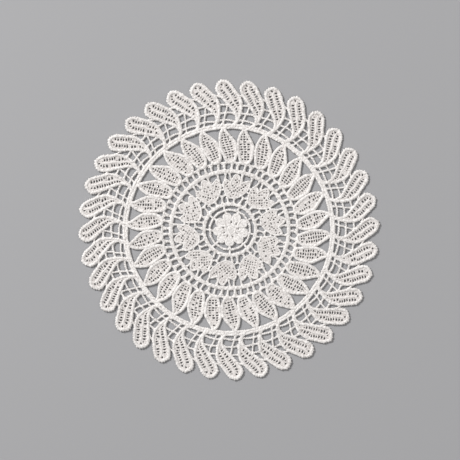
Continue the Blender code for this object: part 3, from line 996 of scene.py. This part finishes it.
# ------------------------------------------------------------------- flower
def arc_pad(piece, centre, length, width, direction, high, level, ridges):
    """A domed satin pad: an oval with ridges across it."""
    rings, spokes = 9, ridges * 2
    turn = 2 * np.pi * np.arange(spokes) / spokes
    places, tags = [], []
    for i in range(rings):
        share = (i + 1) / rings
        lift = math.sqrt(max(0.0, 1 - share**2.2))
        groove = 1 - 0.10 * (np.arange(spokes) % 2) * min(1.0, share * 1.5)
        p = np.c_[np.cos(turn) * length * share, np.sin(turn) * width * share]
        p *= (1 - 0.03 * (np.arange(spokes) % 2) * share)[:, None]
        xy = laid(turned(p, direction) + centre)
        places.append(np.c_[xy, level + high * lift * groove + swell(xy[:, 0], xy[:, 1])])
        tags.append(np.c_[np.full(spokes, share * width), turn / (2 * np.pi), np.full(spokes, 0.5)])
    top = piece.add(np.vstack(places), np.vstack(tags))
    lower = []
    for i in range(rings - 1):
        share = (i + 1) / rings
        lift = math.sqrt(max(0.0, 1 - share**2.2))
        p = np.c_[np.cos(turn) * length * share, np.sin(turn) * width * share]
        xy = laid(turned(p, direction) + centre)
        lower.append(np.c_[xy, level - high * 0.75 * lift + swell(xy[:, 0], xy[:, 1])])
    low = piece.add(np.vstack(lower), np.vstack(tags[:-1]))
    xy = laid(np.asarray(centre, float)[None])
    lift = float(swell(xy[0, 0], xy[0, 1]))
    crown = piece.add([[xy[0, 0], xy[0, 1], level + high + lift]], [[0, 0, 0.5]])
    foot = piece.add([[xy[0, 0], xy[0, 1], level - high * 0.75 + lift]], [[0, 0, 0.5]])
    j = np.arange(spokes)
    n = (j + 1) % spokes
    disc = np.c_[np.cos(turn), np.sin(turn)] * 9
    for start, centre_index, flip in ((top, crown, False), (low, foot, True)):
        order = [0, 2, 1] if flip else [0, 1, 2]
        tris = [np.stack([np.full(spokes, centre_index), start + j, start + n], 1)[:, order]]
        maps = [np.stack([disc * 0, disc[j] / rings, disc[n] / rings], 1)[:, order]]
        for i in range(rings - 1):
            a = start + i * spokes
            b = start + (i + 1) * spokes
            if flip and i == rings - 2:
                b = top + (rings - 1) * spokes
            q = np.stack([a + j, b + j, b + n, a + n], 1)
            m = np.stack([disc[j] * (i + 1), disc[j] * (i + 2), disc[n] * (i + 2),
                          disc[n] * (i + 1)], 1) / rings
            for corners in ([0, 1, 2], [0, 2, 3]):
                corners = np.array(corners)[order]
                tris.append(q[:, corners])
                maps.append(m[:, corners])
        piece.faces(np.vstack(tris), np.vstack(maps))


flower_at = np.array(FLOWER_AT)
petal_outer = curve(PETAL, 0.4)
petal_line = smoothed(petal_outer + inward(petal_outer) * PETAL_CORD, 5)
for (direction, distance, size), (spoke, _, _) in zip(
        PETALS, [min(FLOWER, key=lambda f: abs((f[0] - p[0] + 180) % 360 - 180)) for p in PETALS]):
    out = polar([(direction, distance)])[0]
    satin(flower, turned(petal_line * size, direction) + out + flower_at, PETAL_CORD,
          high=0.00052, level=CORD_LEVEL + 0.00003, sides=9, slant=0.0003, ridge=0.14)
    arc_pad(flower, out * 0.99 + flower_at, 4.7 * size, 3.7 * size, direction, 0.00054, CORD_LEVEL + 0.00002, 15)
    # a short link from the petal's tip to the spoke
    foot = polar([(spoke, 20.3)])[0]
    tip_at = out * (distance + 3.0) / distance + flower_at
    line = curve(np.vstack([tip_at, (tip_at + foot) / 2, foot]), 0.4)
    satin(flower, line, 1.25, high=0.00044, level=CORD_LEVEL - 0.00006, sides=8, slant=0.0002, ridge=0.12)
# padding fills the clefts between the petals
for (first, _, _), (second, _, _) in zip(PETALS, PETALS[1:] + PETALS[:1]):
    between = second + ((first - second + 180) % 360 - 180) / 2
    arc_pad(flower, polar([(between, 10.9)])[0] + flower_at, 2.5, 1.25, between, 0.00042, CORD_LEVEL - 0.00002, 9)
circle = polar(np.c_[np.linspace(0, 360, 121)[:-1], np.full(120, 4.9)]) + flower_at
satin(flower, circle, 1.2, high=0.00050, closed=True, slant=0.0003, ridge=0.12, sides=9,
      level=CORD_LEVEL + 0.00004, lump=0.16)
arc_pad(flower, flower_at, 4.6, 4.6, 20.0, 0.00056, CORD_LEVEL, 16)
flower_edge = polar(np.c_[np.linspace(0, 360, 73)[:-1], np.full(72, 13.0)]) + flower_at
sheet_of(ground, flower_edge,
         [dot(polar([(t, r)])[0] + flower_at, s, s * 0.9, t) for t, r, s in FLOWER_DOTS], spacing=1.0)


# ----------------------------------------------------------------- materials
def thread_material(name, pale, deep, pitch, bump, rough):
    """White stitched thread: fine filaments, small changes of tone, soft sheen."""
    material = bpy.data.materials.new(name)
    material.use_nodes = True
    nodes, links = material.node_tree.nodes, material.node_tree.links
    nodes.clear()
    out = nodes.new("ShaderNodeOutputMaterial")
    shader = nodes.new("ShaderNodeBsdfPrincipled")
    links.new(shader.outputs["BSDF"], out.inputs["Surface"])
    shader.inputs["Sheen Weight"].default_value = 0.25
    shader.inputs["Sheen Roughness"].default_value = 0.4
    shader.inputs["Specular IOR Level"].default_value = 0.35
    stitch = nodes.new("ShaderNodeAttribute")
    stitch.attribute_name = "stitch"
    split = nodes.new("ShaderNodeSeparateXYZ")
    links.new(stitch.outputs["Vector"], split.inputs["Vector"])
    place = nodes.new("ShaderNodeTexCoord")

    def math_node(kind, a, b=None, c=None):
        node = nodes.new("ShaderNodeMath")
        node.operation = kind
        for socket, value in zip(node.inputs, (a, b, c)):
            if value is None:
                continue
            if isinstance(value, (int, float)):
                socket.default_value = value
            else:
                links.new(value, socket)
        return node.outputs[0]

    # filaments run slantwise round the cord
    phase = math_node("ADD", math_node("MULTIPLY", split.outputs["X"], 6.2832 / pitch),
                      math_node("MULTIPLY", split.outputs["Y"], 6.2832 * 2.0))
    filament = math_node("MULTIPLY_ADD", math_node("SINE", phase), 0.5, 0.5)
    soft = nodes.new("ShaderNodeTexNoise")
    soft.inputs["Scale"].default_value = 1150.0
    soft.inputs["Detail"].default_value = 2.0
    links.new(place.outputs["Object"], soft.inputs["Vector"])
    fine = nodes.new("ShaderNodeTexNoise")
    fine.inputs["Scale"].default_value = 2600.0
    fine.inputs["Detail"].default_value = 4.0
    fine.inputs["Roughness"].default_value = 0.6
    links.new(place.outputs["Object"], fine.inputs["Vector"])
    blend = math_node("ADD", math_node("MULTIPLY_ADD", soft.outputs["Fac"], 2.0, -0.70),
                      math_node("MULTIPLY", fine.outputs["Fac"], 0.25))
    blend = math_node("ADD", blend, math_node("MULTIPLY", split.outputs["Z"], 0.12))
    blend = math_node("ADD", blend, math_node("MULTIPLY", filament, 0.16))
    ramp = nodes.new("ShaderNodeValToRGB")
    ramp.color_ramp.elements[0].position = 0.22
    ramp.color_ramp.elements[0].color = (*deep, 1.0)
    ramp.color_ramp.elements[1].position = 0.68
    ramp.color_ramp.elements[1].color = (*pale, 1.0)
    links.new(blend, ramp.inputs["Fac"])
    links.new(ramp.outputs["Color"], shader.inputs["Base Color"])
    links.new(math_node("ADD", math_node("MULTIPLY", fine.outputs["Fac"], 0.22), rough - 0.11),
              shader.inputs["Roughness"])
    height = math_node("ADD", math_node("MULTIPLY", filament, 0.7),
                       math_node("MULTIPLY", fine.outputs["Fac"], 0.6))
    height = math_node("ADD", height, math_node("MULTIPLY", soft.outputs["Fac"], 4.0))
    relief = nodes.new("ShaderNodeBump")
    relief.inputs["Strength"].default_value = bump
    relief.inputs["Distance"].default_value = 0.00006
    links.new(height, relief.inputs["Height"])
    links.new(relief.outputs["Normal"], shader.inputs["Normal"])
    return material


satin_white = thread_material("satin_thread", (0.95, 0.918, 0.895), (0.60, 0.565, 0.542), 0.15, 0.5, 0.62)
strand_white = thread_material("strand_thread", (0.87, 0.835, 0.81), (0.73, 0.69, 0.665), 0.22, 0.55, 0.70)
# the ground's thread is coloured darker than the cords': painted shade, for the shade on the lower fill between the
# cords and in its tiny pores
ground_painted_shade = thread_material("ground_stitches_painted_shade", (0.86, 0.82, 0.795), (0.50, 0.46, 0.44), 0.32, 0.8, 0.78)

for piece, material in ((ground, ground_painted_shade), (paddle_cords, satin_white), (leaf_cords, satin_white),
                        (ring_cords, satin_white), (paddle_mesh, strand_white), (leaf_mesh, strand_white),
                        (motif_mesh, strand_white), (bars, satin_white), (flower, satin_white)):
    piece.build(material)


# ------------------------------------------------------------- floor, lights
floor_mesh = bpy.data.meshes.new("floor")
floor_mesh.from_pydata([(-4, -4, 0), (4, -4, 0), (4, 4, 0), (-4, 4, 0)], [], [(0, 1, 2, 3)])
floor = bpy.data.objects.new("floor", floor_mesh)
bpy.context.scene.collection.objects.link(floor)
floor.location.z = -0.0001
floor_look = bpy.data.materials.new("pale_floor")
floor_look.use_nodes = True
floor_shader = floor_look.node_tree.nodes["Principled BSDF"]
floor_shader.inputs["Base Color"].default_value = (0.39, 0.39, 0.40, 1)
floor_shader.inputs["Roughness"].default_value = 0.9
floor_shader.inputs["Specular IOR Level"].default_value = 0.2
floor_mesh.materials.append(floor_look)


def soft_light(name, place, size, power, target=(0, 0, 0)):
    data = bpy.data.lights.new(name, "AREA")
    data.shape = "DISK"
    data.size = size
    data.energy = power
    light = bpy.data.objects.new(name, data)
    light.location = place
    light.rotation_mode = "QUATERNION"
    light.rotation_quaternion = (Vector(target) - Vector(place)).to_track_quat("-Z", "Y")
    bpy.context.scene.collection.objects.link(light)


soft_light("key", (-1.60, 1.44, 1.68), 0.68, 71.0)
soft_light("fill", (0.9, -0.4, 0.9), 0.9, 2.4)
world = bpy.data.worlds.new("studio")
world.use_nodes = True
world.node_tree.nodes["Background"].inputs["Color"].default_value = (1.0, 0.99, 0.98, 1)
world.node_tree.nodes["Background"].inputs["Strength"].default_value = 0.36
bpy.context.scene.world = world
bpy.context.scene.view_settings.view_transform = "Standard"

# ------------------------------------------------------------------- camera
VIEW = 460 * STITCH          # what the frame takes in, metres
DISTANCE = 0.72
camera_data = bpy.data.cameras.new("camera")
camera_data.sensor_width = 36.0
camera_data.lens = 18.0 / (VIEW / 2 / DISTANCE)
camera_data.clip_start, camera_data.clip_end = 0.01, 20.0
camera = bpy.data.objects.new("camera", camera_data)
camera.location = (0.00097, -0.00002, DISTANCE)
bpy.context.scene.collection.objects.link(camera)
bpy.context.scene.camera = camera
